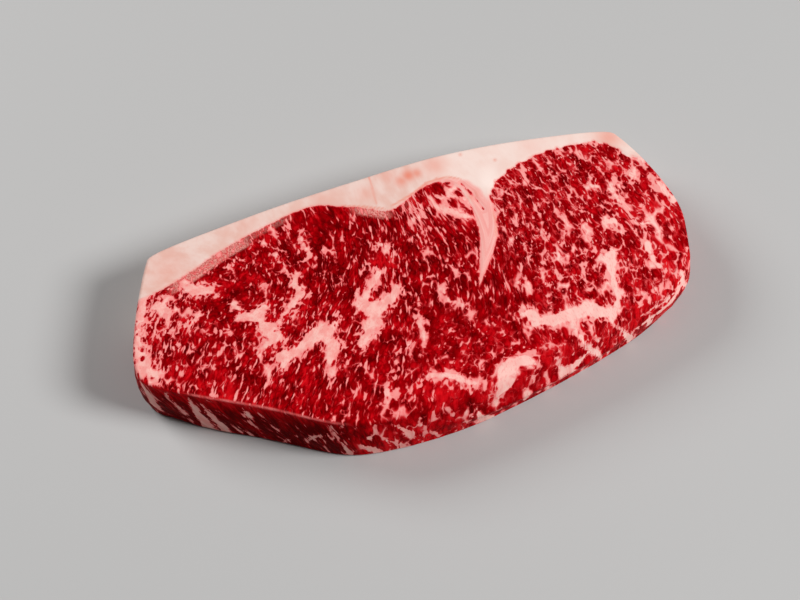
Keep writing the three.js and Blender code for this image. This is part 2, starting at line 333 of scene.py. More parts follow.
# islands of fat on the cut face: strokes of (x, y, half width)
fatIslands = [
    [(-80, 25, 3.4), (-74, 22.5, 3)],
    [(-94, 22, 3.4), (-91, 19, 2)],
    [(-98, 29, 2.6), (-102, 20, 2.2), (-105, 9, 2.8), (-106.5, 0, 3), (-104, -6, 2.2), (-103, -9, 1.4)],
    [(-92, 10, 1.1), (-85, 10, 1.2), (-82, 13, 1.2), (-84, 16, 1.2)],
    [(-67, 13, 1.8), (-66, 8, 1.6), (-60, 5, 2.2), (-57, 8, 2.2)],
    [(-60, 5, 2), (-59, -3, 2.6), (-57, -6, 3.2), (-61, -8, 1.6), (-65, -10, 1.3)],
    [(-44, 22, 0.8), (-42, 17, 1.1), (-43, 13, 1.3), (-42, 9, 1.9), (-47, 5, 1.7), (-51, 2, 1.2),
     (-54, 0, 1),
     (-57, -2, 1.5)],
    [(-58, -19, 1.8), (-57, -15, 3), (-50, -14, 2.2), (-44, -10.6, 3.2), (-40, -9.8, 3.1),
     (-36, -8.6, 1.7), (-33, -6, 0.7)],
    [(-40, -10, 3.2), (-38, -17, 2.8), (-41, -22, 1.8), (-43, -28, 1.1), (-44, -31, 0.5)],
    [(-13, 14, 0.9), (-12, 8, 1.2), (-16, 4, 1.5), (-19, 1, 1.8), (-22, -3, 2.5), (-19, -6, 3.8),
     (-20, -12, 3),
     (-25, -17, 2.4), (-29, -20, 1.5), (-32, -23, 0.6)],
    [(-6, 1, 0.9), (-8, -2, 2), (-12, -5, 2.5), (-17, -7, 3.2)],
    [(-1, -7, 0.4), (-3, -12, 0.8), (-4.5, -18, 1.2), (-4.5, -23, 0.8), (-6, -28, 0.4)],
    [(-9, 20.5, 0.6), (-6, 20, 0.8), (-3.5, 17.5, 0.9), (-4.5, 14, 0.4)],
    [(-28, -45, 1.2), (-26, -42, 1.8), (-24, -40, 1.3), (-21, -35, 0.7), (-19, -31, 0.7), (-16, -29, 0.6),
     (-11, -25, 0.4)],
    [(-17, -43, 0.6), (-12, -41.5, 0.9), (-8, -40.5, 1.5), (-3, -42, 1.5), (1, -45, 1.5), (4, -48, 1.2),
     (8, -50, 0.9)],
    [(12, -56, 1.8), (15, -52, 2.2), (18, -48, 2.9), (22, -46, 3.1), (27, -46, 2), (30, -48, 1.4)],
    [(31, -28, 0.7), (36, -28, 2), (37, -32, 2.5), (43, -34, 2.5), (50, -34, 2.9), (57, -34, 3.3),
     (61, -36.5, 2.8),
     (65, -38.5, 1.9), (68, -36, 1.4), (70.5, -32, 1), (71, -27, 1), (73, -20, 1.9), (74, -16, 3),
     (76, -12, 0.9)],
    [(64, -38, 1.2), (64, -42, 1.1)],
    [(80, -34.5, 0.1), (91, -32.5, 0.2), (98, -29.5, 0.3)],
    [(76, -38.5, 0.5), (84, -37.6, 0.5), (92, -35.2, 0.5)],
    [(79, -42, 0.5), (87, -39.5, 0.6), (95, -35.5, 0.7), (99, -31, 0.9), (101, -26, 0.5)],
    [(85, -44, 0.5), (92, -40, 0.6), (98, -35, 0.7)],
    [(50, -37, 1), (49, -42, 0.9), (51, -46, 1.4), (54, -50, 1.6)],
    [(91, -12, 0.8), (90, -15, 1.5), (90, -20, 1.2), (91, -25, 1), (92, -28, 0.5)],
    [(37, -14, 1.4), (40, -19, 1.2)],
    [(56, -7, 1.3), (55, -10, 1)],
    [(79, 0, 1.7), (82, 0, 1.3), (83, -6, 0.8)],
    [(81, 18, 1.5), (83, 17, 1.3)],
    [(98, 18, 1.8), (97, 16, 1.2)],
    [(89, 18, 0.7), (88, 14, 1.3), (88, 8, 0.9), (89, 3, 0.4)],
    [(92, -5, 1.3), (96, -6, 1.2)],
    [(22, 30, 1.3), (23, 26, 2), (26, 23.5, 1.4), (29, 21.5, 1.2), (31.5, 20, 0.9)],
    [(26, 34, 0.6), (30, 35.5, 1.3), (31.5, 38.5, 1)],
    [(20, 33.5, 0.6), (24, 32.5, 0.8), (28, 32, 0.8), (31.5, 30, 1), (32.8, 25, 0.9)],
    [(13, 20, 0.9), (12.6, 18, 0.6)],
    [(10, 32, 0.9), (10, 27, 1.2), (9, 20, 1.1), (8, 16, 0.7)],
    [(13.5, 31, 0.9), (12, 26, 0.6)],
    [(-33, 36, 0.6), (-34, 30, 0.9), (-33.5, 25, 1.4), (-34.5, 21, 0.8)],
    [(-46, 33, 0.8), (-46, 28, 1.4)],
    [(-38, 36, 0.7), (-37, 41, 0.7)],
    [(-27.5, 26, 0.5), (-28.5, 22, 0.3)],
    [(15, 2, 0.8), (16, -2, 0.5)],
    [(8.5, -5, 0.9), (9.5, -12, 1.1), (12.5, -15, 1), (15, -19, 0.7)],
    [(99.5, 41, 1.6), (101, 34, 1.2), (104, 26, 1.2), (106, 20, 0.8)],
    [(105.5, 14, 0.8), (107, 7, 1.6), (108.5, 1, 1.8)],
]


# pale bands and fat down the front wall: strokes of (x, depth, half width)
frontStreaks = [
    [(-109.5, 2, 0.6), (-108, 8, 1.6), (-106, 16, 1.3), (-105, 19, 0.9)],
    [(-103, 0.5, 0.4), (-100, 8, 0.6), (-97.5, 15, 0.55), (-94.5, 22, 0.4)],
    [(-100.5, 5, 0.25), (-98.5, 10, 0.4), (-96, 17, 0.3)],
    [(-95.5, 1, 0.4), (-93.5, 9, 1.4), (-91.5, 16, 2), (-89.5, 25, 2.5)],
    [(-91, 5, 0.5), (-88, 12, 1.4), (-86, 17, 1.9), (-83.5, 25, 2.2)],
    [(-77.5, 3, 0.4), (-76.3, 7, 1), (-74.8, 10, 0.5)],
    [(-76, 12, 0.3), (-74, 15, 0.35), (-72, 19, 0.2)],
    [(-82, 15, 0.3), (-79.5, 21, 0.45), (-77, 25, 0.5)],
    [(-79.5, 17, 0.3), (-76, 23, 0.4), (-74, 25, 0.4)],
    [(-72, 5, 0.25), (-68.5, 11, 0.4), (-67, 14, 0.2)],
    [(-66, 25, 0.6), (-62.5, 19, 0.5), (-60, 14, 0.4)],
    [(-57.5, 18, 0.5), (-56, 14, 0.9), (-54, 11, 0.9), (-50.5, 9, 0.5), (-49, 11, 0.3)],
    [(-49.5, 2, 0.3), (-48, 8, 0.5), (-46.5, 13, 0.4)],
    [(-46.5, 0.5, 0.3), (-44.5, 6, 0.4)],
    [(-46.5, 13, 0.6), (-44.8, 18, 1.2), (-43, 24, 1.2)],
    [(-40, 10, 0.6), (-36.5, 10.5, 0.9), (-34.6, 7, 0.6), (-34, 1, 0.4)],
    [(-38.5, 15.5, 0.9), (-35.5, 19, 1.8), (-33.5, 23.5, 1.4)],
    [(-27.6, 4, 0.6), (-24.5, 7.5, 1.3), (-21.5, 12, 1.7), (-20.3, 17, 0.8)],
    [(-27.2, 8, 0.35), (-26.6, 20, 0.5)],
    [(-31, 12, 0.5), (-28.5, 17, 0.8)],
    [(-25.5, 18, 0.8), (-23.5, 23.5, 1.8), (-20, 25, 1.3)],
    [(-18, 3, 0.4), (-16.5, 11, 0.5)],
    [(-13, 1, 0.4), (-12.3, 7, 0.5)],
    [(-12, 17, 0.6), (-9.5, 22, 0.8)],
    [(-6.5, 3, 0.5), (-4.5, 8, 0.5)],
    [(0.6, 9, 0.4), (3.2, 14, 0.6), (2, 17, 0.3)],
    [(4.5, 9, 0.5), (5.8, 15, 1.3), (8, 20, 2.8), (11.5, 23.5, 2.2)],
    [(18, 0, 4.4), (17, 3.5, 3), (13.6, 7, 1), (13, 12, 0.4)],
    [(25, 11, 0.7), (26.2, 16, 1.7), (26.2, 22, 0.9)],
    [(29, 3, 0.4), (28.5, 10, 0.5)],
    [(33.5, 7, 0.5), (35, 13, 0.7), (35.2, 19, 1.2), (36.5, 23, 1.2)],
    [(38.5, 2, 0.5), (40.5, 8, 0.9), (42, 13.5, 2.2), (48, 12, 1.8), (52.5, 9.5, 1.2)],
    [(37.5, 17.5, 1.2), (42, 17.5, 1), (47, 16, 0.9)],
    [(51, 0, 0.9), (53, 6, 1.2), (56, 11, 1.5), (58.5, 16, 1.1), (60.5, 22, 1)],
    [(55.5, 0, 0.5), (57, 5, 0.5), (58.8, 10, 0.4)],
    [(46, 1, 0.3), (46.5, 6, 0.4)],
    [(62.5, 19, 0.9), (65, 23.5, 0.9)],
    [(64, 0, 1.4), (66, 4, 0.6), (68.5, 9, 0.9), (71, 14, 1.7), (74.5, 22, 2.1)],
    [(82.5, 5, 0.4), (81.8, 11, 1.1), (82.8, 18, 1.6)],
    [(91, 3, 0.4), (89, 9, 0.5), (87, 15, 0.5)],
    [(96.5, 0, 1.3), (99, 6, 1.2), (101.5, 12, 1.2)],
    [(75, 13.5, 1), (84, 12, 1.5), (92, 10, 1.8), (97.5, 5, 1.7), (99.5, 0.5, 1)],
    [(84, 0.9, 0.6), (92, 0.7, 0.9), (96, 1.5, 1)],
    [(76, 6.5, 0.6), (82, 5.8, 0.9), (90, 6.5, 1.1), (95, 4.5, 0.8)],
]

details = {
    # red specks in the fat of the rims: x, y, radius
    "specks": [
        (-97, 26, 1), (-102, 16, 1.3), (-104, 13, 0.8), (-105, 6, 0.9), (-109, 2, 0.9), (-103, 9.5, 1),
        (-106.5, 2.5, 0.8), (97.5, 38, 0.8),
    ],
    # thin red threads in the seam, and the dark hook in the pale part of the round muscle's head
    "threads": [
        [(33.3, 37, 0.6), (35.2, 31, 1.2), (35.8, 29, 0.6)],
        [(35.6, 28.5, 0.7), (37, 22.5, 0.5)],
        [(37.3, 8.6, 0.4), (38.8, 6, 0.3)],
        [(25, 30.5, 0.5), (28, 29.6, 0.8), (30.5, 26.5, 0.9), (31, 23.5, 0.6)],
        [(26.4, 28.4, 0.35), (28.6, 25, 0.4)],
    ],
    # pink arc of the seam round the head of the muscle
    "arc": [
        [(12, 38, 0.4), (20, 40.7, 0.5), (26, 40.9, 0.7), (31, 39, 1.5), (34.5, 35.5, 2.4),
         (36.5, 31, 2.9), (37, 25, 3.5)],
    ],
    # membrane just under the cap: from x, to x, width, strength
    "membrane": [(-90, -51, 4.4, 1), (-57, -33, 2.6, 0.35), (-13, 4, 3.4, 1), (5, 15, 2.4, 0.15)],
    # pink spots on the cap: x, y, radius, strength
    "stains": [
        (11.5, 45.8, 2.8, 1), (15, 47.2, 2.8, 1.3), (18.5, 47.2, 2.4, 1), (97, 38, 5.5, 0.85),
        (26, 48.5, 5, 0.6), (35.3, 30, 2.2, 0.9), (104, 26, 3, 0.3), (8, 50, 4, 0.4), (-80, 33.5, 3, 0.4),
        (50, 43, 0.7, 0.9), (38, 50, 0.7, 0.8), (-52, 47, 7, 0.22), (66, 45, 5, 0.25), (-86, 36, 8, 0.45),
        (-20, 49, 6, 0.2), (-4, 45, 3.5, 0.4),
    ],
    # creases of the cap, drawn as painted shade lines: strokes of (x, y, half width)
    "crease": [
        [(0.3, 53, 0.2), (-0.4, 46, 0.25), (-1, 39, 0.15)],
        [(40, 20, 0.2), (39.3, 14, 0.3), (37, 9.5, 0.2)],
        [(4, 35.8, 0.3), (14, 38.6, 0.4), (20, 41.3, 0.4), (25, 42, 0.4), (30, 41.1, 0.3),
         (34, 38.8, 0.2)],
        [(-14, 42.6, 0.2), (-6, 39.2, 0.3), (1, 35.6, 0.3)],
    ],
    # more or less marbling than elsewhere: x, y, change, reach
    "marbling": [
        (72, -44, -0.18, 6), (84, -39, -0.46, 8), (97, -32, -0.30, 7), (58, -52, -0.15, 8),
        (102, -15, -0.15, 8), (-95, 20, 0.24, 14), (-104, -2, 0.2, 9), (88, 5, 0.04, 16), (14, 33, 0.25, 5),
        (-65, 20, -0.20, 14), (-25, 30, -0.25, 14), (40, -5, 0.08, 14), (-80, -5, 0.10, 15),
        (-48, -30, -0.12, 12), (-5, -47, 0.14, 10), (102, 10, 0.02, 12), (65, -28, -0.22, 6),
        (-20, -31, -0.16, 9), (-64, 30, 0.18, 8), (42, 24, 0.18, 8), (-42, -19, 0.10, 6),
        (55, -18, 0.12, 7), (30, -42, 0.16, 6), (-97, 16, 0.12, 5), (3, -8, 0.10, 6),
    ],
    # brighter or darker lean; the spots at (43, 33) and (46, 39) paint a highlight on the fat by the seam
    "tone": [
        (-12, 24, -0.17, 20), (8, 5, -0.25, 18), (-13, -18, 0.20, 9), (-66, 2, 0.30, 7),
        (-85, -18, 0.30, 10), (96, -24, 0.45, 7), (88, -38, 0.5, 9), (43, 33, 0.7, 4), (46, 39, 0.6, 6),
        (-6, -48, 0.55, 10), (104, 0, 0.45, 12), (-7, 12, 0.8, 5), (60, -45, 0.2, 14), (-70, 12, -0.25, 9),
        (-72, 22, 0.3, 6), (-30, 18, -0.25, 12), (-55, -6, 0.35, 8), (-62, -27, 0.1, 10),
        (40, 10, -0.1, 12), (-26, -20, -0.35, 8), (-14, -30, -0.32, 8), (-70, -20, -0.28, 7),
        (28, -43, 0.35, 7), (43, -43, 0.22, 7), (-14, 31, 0.2, 8), (-42, 5, 0.2, 7), (42, 27, -0.22, 6),
        (0, -8, -0.2, 7), (-15, -5, 0.25, 6), (-16, 17, 0.15, 7), (-84, -5, -0.18, 8), (42, 6, -0.2, 7),
    ],
}


# soft borders in X, Y or depth: the value that counts as 0, and the one that counts as 1
borders = {
    "drift": (-10, -70), "tipY": (10, -16),
    "frontY": (-2, -6), "frontTop": (0.3, 1.6), "frontBottom": (24.9, 24.0), "widerBands": (10, -20),
    # where the lip's painted highlight runs along the front's upper left edge
    "rimHighlightIn": (-97, -90), "rimHighlightOut": (-42, -52), "rimHighlightTop": (0.0, 0.3),
    "rightMuscle": (26, 44), "rightFrontX": (-14, 2), "rightFrontY": (-14, -26),
    "plainLeft": (-25, -45), "plainRight": (10, 50),
    # darkens and brightens: where painted shade deepens down the left wall, and where painted light begins
    # along the front
    "leftWall": (-38, -50), "leftWallTop": (0.0, 0.5), "darkens": (1.0, 9.0), "brightens": (-50, -38),
    "roseY": (30, 24), "roseIn": (8, 14), "roseOut": (70, 60), "arc": (-0.7, 0.9),
    "crease": (-0.6, 0.1), "creaseFades": (4, 0.5),
}

# near the tip of the seam the fat is thinner, and thinner still for each millimetre to the left of slantFrom
fatEdge = {
    "tipX": 25, "tipReach": 18, "tipThinner": 1.0, "slant": 0.2, "slantFrom": 27, "slantMost": 9,
    "wallUneven": 2.4, "wallWave": (7.0, 9.0), "wallSeed": 8,
    "threadSharper": 1.5, "threadSoft": 0.15, "speckSharper": 1.6,
    "membraneFades": (6, 5), "membraneEdge": (-0.5, 0.6), "arcSoft": 0.5, "creaseSoft": 0.15, "stainDepth": 6,
}

# islands narrow for each millimetre down the front, and its bands are wider on the left
frontWall = {
    "islandsShrink": 0.3, "bandSharper": 1.8, "bandSoft": 0.3, "bandThinner": 0.2, "leftWider": 0.4,
    "offWall": 12,
}

# pale lip of membrane along the upper left edge of the front, with a painted highlight on it; its waves in
# radians for each millimetre
rimHighlight = {"middle": 0.35, "reach": 0.46, "mean": 0.7, "change": 0.4, "waves": (0.9, 0.37), "strength": 1.6}

# amount of marbling and brightness of the lean, with painted shade down the left wall and painted light on
# the front wall. The right muscle begins in x + y / 4
meat = {
    "rightSlant": 0.25, "frontShare": 0.8, "marbling": 0.46, "moreRight": 0.21, "lessOnWall": 0.18,
    "plainRightShare": 0.3, "leftWallY": -4, "edgeBrighter": 0.75, "wallShade": 1.1, "frontLight": 0.35,
}


def within(name, value):
    # 0 to 1 over one of the soft borders
    return smoothStep(*borders[name], value)


def softSpots(x, y, spots):
    # sum of bells over the plan: each spot is (x, y, height, reach)
    return sum(height * bell(np.hypot(x - cx, y - cy), reach) for cx, cy, height, reach in spots)


def capField(x, y, depth, wall):
    # distance to the border of the fat, less a share near the tip of the seam, plus noise down the wall
    slant = fatEdge["slant"] * np.clip(fatEdge["slantFrom"] - x, 0, fatEdge["slantMost"])
    nearTip = within("tipY", y) * (abs(x - fatEdge["tipX"]) < fatEdge["tipReach"])
    waveDown, waveAlong = fatEdge["wallWave"]
    uneven = valueNoise(depth / waveDown, (x + y) / waveAlong, fatEdge["wallSeed"]) - 0.5
    cap = borderDistance(x, y) - nearTip * (fatEdge["tipThinner"] + slant)
    return cap + wall * fatEdge["wallUneven"] * uneven


def islandField(x, y, grainX, depth, onFront):
    # distance inside the islands of fat, or inside the bands of the front wall where that is larger
    island = streakDistance(grainX, y, fatIslands) - frontWall["islandsShrink"] * depth * onFront
    band = frontWall["bandSharper"] * streakDistance(x, depth, frontStreaks, frontWall["bandSoft"])
    band = band - frontWall["bandThinner"] + frontWall["leftWider"] * within("widerBands", x)
    return np.maximum(island, band - frontWall["offWall"] * (1 - onFront))


def membraneField(x, cap):
    # 0 to 1 within its own width of the cap's border, fading out at both ends
    membrane = 0 * x
    fadeIn, fadeOut = fatEdge["membraneFades"]
    outer, inner = fatEdge["membraneEdge"]
    for low, high, width, strength in details["membrane"]:
        here = smoothStep(low, low + fadeIn, x) * smoothStep(high, high - fadeOut, x)
        membrane = np.maximum(membrane, strength * here * smoothStep(outer - width, inner - width, cap))
    return membrane


def meatField(x, y, depth, onFront):
    # amount of marbling, brightness of the lean with painted light and shade on the front and left walls, and
    # share of the right muscle's pattern
    right = within("rightMuscle", x + meat["rightSlant"] * y)
    right = np.maximum(right, meat["frontShare"] * within("rightFrontX", x) * within("rightFrontY", y))
    plain = within("plainLeft", x) + meat["plainRightShare"] * within("plainRight", x)
    amount = meat["marbling"] + meat["moreRight"] * right - meat["lessOnWall"] * onFront * plain
    onLeftWall = within("leftWallTop", depth) * within("leftWall", x) * (y < meat["leftWallY"])
    # painted light on the front wall, from about x = -50 onwards
    tone = softSpots(x, y, details["tone"]) + meat["frontLight"] * onFront * within("brightens", x)
    # left wall: lighter just under the rim, then painted shade that deepens further down
    tone = tone + onLeftWall * (meat["edgeBrighter"] - meat["wallShade"] * within("darkens", depth))
    return np.stack([amount + softSpots(x, y, details["marbling"]), tone, right], 1)


def skinField(x, y, depth, wall, cap):
    # rose of the seam, the cap's creases as painted shade lines and its stains, the lip of the front with its
    # painted highlight, and the share of the wall
    rose = within("roseY", y) * within("roseIn", x) * within("roseOut", x)
    rose = np.maximum(rose, within("arc", streakDistance(x, y, details["arc"], fatEdge["arcSoft"])))
    # painted shade lines in the creases of the cap
    crease = within("crease", streakDistance(x, y, details["crease"], fatEdge["creaseSoft"]))
    crease = crease * within("creaseFades", depth)
    for cx, cy, radius, strength in details["stains"]:
        stainAndCreaseShade = strength * bell(np.hypot(x - cx, y - cy), radius)
        crease = np.maximum(crease, stainAndCreaseShade * (depth < fatEdge["stainDepth"]))
    # painted highlight: a pale waved line just under the upper left edge of the front
    quick, slow = rimHighlight["waves"]
    ripple = np.sin(quick * x) * np.sin(slow * x + 1)
    onRimHighlight = within("rimHighlightIn", x) * within("rimHighlightOut", x) * (y < 0) * within("rimHighlightTop", depth)
    pale = onRimHighlight * bell(depth - rimHighlight["middle"], rimHighlight["reach"]) * (rimHighlight["mean"] + rimHighlight["change"] * ripple)
    # one channel for the painted crease shade and the stains on the fat, and the lip's painted highlight on
    # the lean
    return np.stack([rose, np.maximum(crease * (cap > 0), rimHighlight["strength"] * pale), wall], 1)


def pieceFields(x, y, depth, wall):
    # everything the material needs to know at each vertex, as whole arrays
    grainX = x - grain["sideLean"] * within("drift", x) * depth
    gridX, gridY, *heights = grainField()
    along, across = (lookUp(grainX, y, gridX, gridY, height) for height in heights)
    onFront = within("frontTop", depth) * within("frontBottom", depth) * within("frontY", y)
    threads = -fatEdge["threadSharper"] * streakDistance(x, y, details["threads"], fatEdge["threadSoft"])
    cap = np.minimum(capField(x, y, depth, wall), threads)
    island = np.minimum(islandField(x, y, grainX, depth, onFront), threads)
    for cx, cy, radius in details["specks"]:
        island = np.minimum(island, fatEdge["speckSharper"] * (np.hypot(x - cx, y - cy) - radius))
    return {
        "grain": np.stack([along, across, depth], 1),
        "fat": np.stack([cap, island, membraneField(x, cap)], 1),
        "meat": meatField(x, y, depth, onFront),
        "skin": skinField(x, y, depth, wall, cap),
    }


def buildSlab():
    # vertices: the upper grid, the side rows between the two rims, and the lower grid
    nI, nJ = slab["along"], slab["across"]
    corners = [*cornerAt.values(), len(outlineGuides) + cornerAt["capLeft"]]
    sides = [sidePoints(outlineSide(*end)) for end in zip(corners, corners[1:], (nI, nJ, nI, nJ))]
    upper = fillPatch(*(side[0][0] for side in sides))
    lower = fillPatch(*(side[0][-1] for side in sides))
    upper[1:-1, 1:-1, 2] = upperFace(upper[1:-1, 1:-1, 0], upper[1:-1, 1:-1, 1])
    lower[..., 2] = 0
    rows = np.concatenate([side[0][:, :-1] for side in sides], 1)[1:-1]
    depths = np.concatenate([side[1][:, :-1] for side in sides], 1)[1:-1]
    upperId = np.arange((nI + 1) * (nJ + 1)).reshape(nJ + 1, nI + 1)
    rim = np.concatenate([upperId[0, :-1], upperId[:-1, -1], upperId[-1, :0:-1], upperId[:0:-1, 0]])
    sideId = upperId.size + np.arange(rows.shape[0] * rows.shape[1]).reshape(rows.shape[:2])
    lowerId = upperId + upperId.size + sideId.size
    ringIds = np.concatenate([rim[None], sideId, (rim + upperId.size + sideId.size)[None]])
    points = np.concatenate([upper.reshape(-1, 3), rows.reshape(-1, 3), lower.reshape(-1, 3)])
    above, below = np.zeros(upperId.size), np.zeros(lowerId.size)
    depth = np.concatenate([above, depths.ravel(), below + slab["thickness"]])
    onWall = smoothStep(*slab["wallFrom"], depths) * smoothStep(*slab["wallTo"], depths)
    wall = np.concatenate([above, onWall.ravel(), below])
    return points, depth, wall, upperId, lowerId, ringIds


# heights of fat, ripples, groove and the walls' unevenness, the share of it that stands outwards, and its
# waves: share, length along the wall and down it, and the two seeds
relief = {
    "fat": 0.16, "ripple": 0.05, "groove": 0.25, "grooveHalf": 0.8, "wallWobble": 1.0, "fatWobble": 0.45,
    "outwards": 0.2, "waves": [(1.0, 5.2, 6.0, 3, 4), (0.5, 2.3, 3.4, 5, 6)],
    "cell": (0.7, 0.75), "rimFade": (0.5, 3.0), "islandEdge": (1.5, -1.5), "capEdge": (1, -1),
}


def addRelief(points, depth, wall, upperId, fields):
    # small real relief. On top, fat stands a little proud, the cap's border is a shallow groove and the lean
    # ripples by products of sines, all fading to nothing at the rim. Noise of two sizes draws the walls in
    nI, nJ = slab["along"], slab["across"]
    i, j = np.meshgrid(np.arange(nI + 1), np.arange(nJ + 1))
    cellX, cellY = relief["cell"]
    fromRim = np.minimum(np.minimum(i, nI - i) * cellX, np.minimum(j, nJ - j) * cellY).ravel()
    top = upperId.ravel()
    cap, island = fields["fat"][top, 0], fields["fat"][top, 1]
    p, q = fields["grain"][top, 0], fields["grain"][top, 1]
    ripple = np.sin(1.31 * q + 0.9 * np.sin(0.33 * p)) * np.sin(0.47 * p + 0.8 * np.sin(0.71 * q))
    ripple = ripple + np.sin(0.83 * q - 0.29 * p)
    lean = smoothStep(*relief["capEdge"], cap)
    lift = (relief["ripple"] * ripple - relief["fat"] * smoothStep(*relief["islandEdge"], island)) * lean
    lift = lift - relief["groove"] * bell(cap, relief["grooveHalf"])
    points[top, 2] += lift * smoothStep(*relief["rimFade"], fromRim)
    x, y = points[:, 0], points[:, 1]
    wobble = 0 * x
    for share, along, down, seedX, seedY in relief["waves"]:
        uneven = valueNoise(x / along, depth / down, seedX) + valueNoise(y / along, depth / down, seedY)
        wobble = wobble + share * uneven
    onLean = smoothStep(*relief["capEdge"], fields["fat"][:, 0])
    reach = relief["fatWobble"] + (relief["wallWobble"] - relief["fatWobble"]) * onLean
    inwards = np.stack([np.clip(x, -slab["spineHalf"], slab["spineHalf"]) - x, -y], 1)
    inwards /= np.maximum(np.linalg.norm(inwards, axis=1), 1e-6)[:, None]
    points[:, :2] += inwards * (wall * reach * (wobble / 3 - relief["outwards"]))[:, None]


def splitFaces(points, upperId, lowerId, ringIds):
    # faces of the two pieces: cells whose middle lies in the fat, and the rest, with a wall between them that
    # closes both
    corners = points[upperId][..., :2]
    middle = (corners[1:, 1:] + corners[1:, :-1] + corners[:-1, 1:] + corners[:-1, :-1]) / 4
    fatCell = borderDistance(middle[..., 0].ravel(), middle[..., 1].ravel()).reshape(middle.shape[:2]) > 0
    rimCell = np.concatenate([fatCell[0], fatCell[:, -1], fatCell[-1, ::-1], fatCell[::-1, 0]])
    up = np.stack([upperId[1:, :-1], upperId[1:, 1:], upperId[:-1, 1:], upperId[:-1, :-1]], -1)
    down = np.stack([lowerId[:-1, :-1], lowerId[:-1, 1:], lowerId[1:, 1:], lowerId[1:, :-1]], -1)
    before, after = ringIds, np.roll(ringIds, -1, 1)
    side = np.stack([before[:-1], after[:-1], after[1:], before[1:]], -1)
    faces = {}
    columnOf = {int(top): k for k, top in enumerate(ringIds[0])}
    for name, mine in (("lean", False), ("fat_cap", True)):
        own = fatCell == mine
        ownSide = side[:, rimCell == mine].reshape(-1, 4)
        quads = np.concatenate([up[own], down[own], ownSide]).tolist()
        # walls along the border, between a cell of this piece and one of the other
        edges = []
        rows = (own[:-1], own[1:], upperId[1:-1, :-1], upperId[1:-1, 1:])
        columns = (own[:, :-1], own[:, 1:], upperId[1:, 1:-1], upperId[:-1, 1:-1])
        for one, other, a, b in (rows, columns):
            for cells, start, stop in ((one & ~other, a, b), (~one & other, b, a)):
                edges += zip(start[cells].tolist(), stop[cells].tolist())
        toLower = int(lowerId[0, 0] - upperId[0, 0])
        for a, b in edges:
            downA, downB = (ringIds[1:-1, columnOf[k]].tolist() if k in columnOf else [] for k in (a, b))
            quads.append([b, a, *downA, a + toLower, b + toLower, *downB[::-1]])
        faces[name] = quads
    return faces


def addObject(name, data):
    # a new object, linked to the scene
    thing = bpy.data.objects.new(name, data)
    bpy.context.scene.collection.objects.link(thing)
    return thing


def makePiece(name, points, faces, fields, material):
    # one closed mesh in metres, with the fields as attributes of its vertices
    used = np.unique(np.concatenate([np.asarray(face) for face in faces]))
    renumber = np.full(len(points), -1)
    renumber[used] = np.arange(len(used))
    place = points[used] + (*slab["toMiddle"], 0.0)
    mesh = bpy.data.meshes.new(name)
    mesh.from_pydata((place * mm).tolist(), [], [renumber[face].tolist() for face in faces])
    for field, values in fields.items():
        layer = mesh.attributes.new(field, "FLOAT_VECTOR", "POINT")
        layer.data.foreach_set("vector", values[used].astype(np.float32).ravel())
    mesh.polygons.foreach_set("use_smooth", np.ones(len(mesh.polygons), bool))
    mesh.set_sharp_from_angle(angle=math.radians(60))
    mesh.materials.append(material)
    mesh.validate()
    return addObject(name, mesh)


# sRGB, 0 to 255
colours = {
    "leanDark": (96, 0, 2), "leanMid": (164, 0, 8), "leanBright": (222, 18, 27), "blush": (220, 48, 54),
    "pink": (243, 130, 128), "island": (244, 160, 152), "islandPale": (249, 190, 180),
    "islandWhite": (252, 204, 194), "seam": (246, 178, 170), "seamRed": (242, 156, 149),
    # the stain colour paints the real stains and also the painted shade in the cap's creases
    "cap": (236, 206, 196), "capPink": (230, 186, 173), "capWhite": (250, 228, 219), "stainAndCreaseShade": (232, 138, 116),
    "membraneDark": (190, 84, 80), "membranePale": (232, 152, 142),
}

# sizes of cells and waves along, across and down the grain
waves = {
    "bend": (9.0, 6.0, 12.0), "smallBend": (2.4, 1.7, 6.0), "jag": (1.5, 1.1, 4.0),
    "leftLobe": (5.6, 2.2, 7.0), "rightLobe": (4.3, 2.9, 6.0),
    "leftFine": (2.8, 1.15, 4.0), "rightFine": (2.4, 1.55, 3.0),
    "leftFleck": (6.0, 1.25, 5.0), "rightFleck": (2.0, 0.95, 3.0),
    "swing": (7.0, 4.5, 12.0), "fineSwing": (4.5, 3.0, 10.0),
    "broad": (9.0, 5.5, 14.0), "streak": (3.4, 1.2, 9.0), "fibre": (1.3, 0.55, 6.0),
    "cloud": (5.0, 3.0, 10.0), "capCloud": (9.0, 9.0, 9.0), "pores": (2.6, 1.6, 2.6),
    "seamDrift": (9.0, 14.0, 9.0),
}
bendReach = {"bend": (4.0, 2.4, 6.0), "smallBend": (1.2, 0.7, 3.0), "jag": (1.6, 1.0, 1.5)}

# how far out the lean reaches in its lobes, as shares of a lobe, and where fat takes over
marbling = {
    "lobe": {"size": 1.07, "byMarbling": -0.42, "swing": 0.9, "least": 0.50, "tint": 0.18},
    "fine": {"size": 1.08, "byMarbling": -0.40, "swing": 0.8, "right": 0.05, "most": 0.14},
    "fleck": {"spread": 2.2, "byMarbling": 0.5, "less": 0.32, "right": 0.20, "wall": 0.16, "most": 0.20},
    "net": {"width": 0.26, "less": 0.32, "swing": 0.6, "most": 0.10},
    "island": {"fray": 1.6, "frayScale": 0.40, "lobe": (2.0, -1.5), "right": (-0.8, 0.75),
               "fine": (1.3, -0.65), "wallFray": 3.5, "soft": 0.45},
    "cap": {"fray": 1.2, "frayScale": 0.5, "lobe": (1.8, -0.9)},
}

# lightness of the lean: fine paints shade towards the edges of the small bundles so their middles look domed
# and lit, and wall paints shade on the walls
leanLight = {"broad": 2.4, "streak": 1.5, "fibre": 0.7, "tint": 0.45, "fine": (0.9, -0.42), "wall": 0.25}

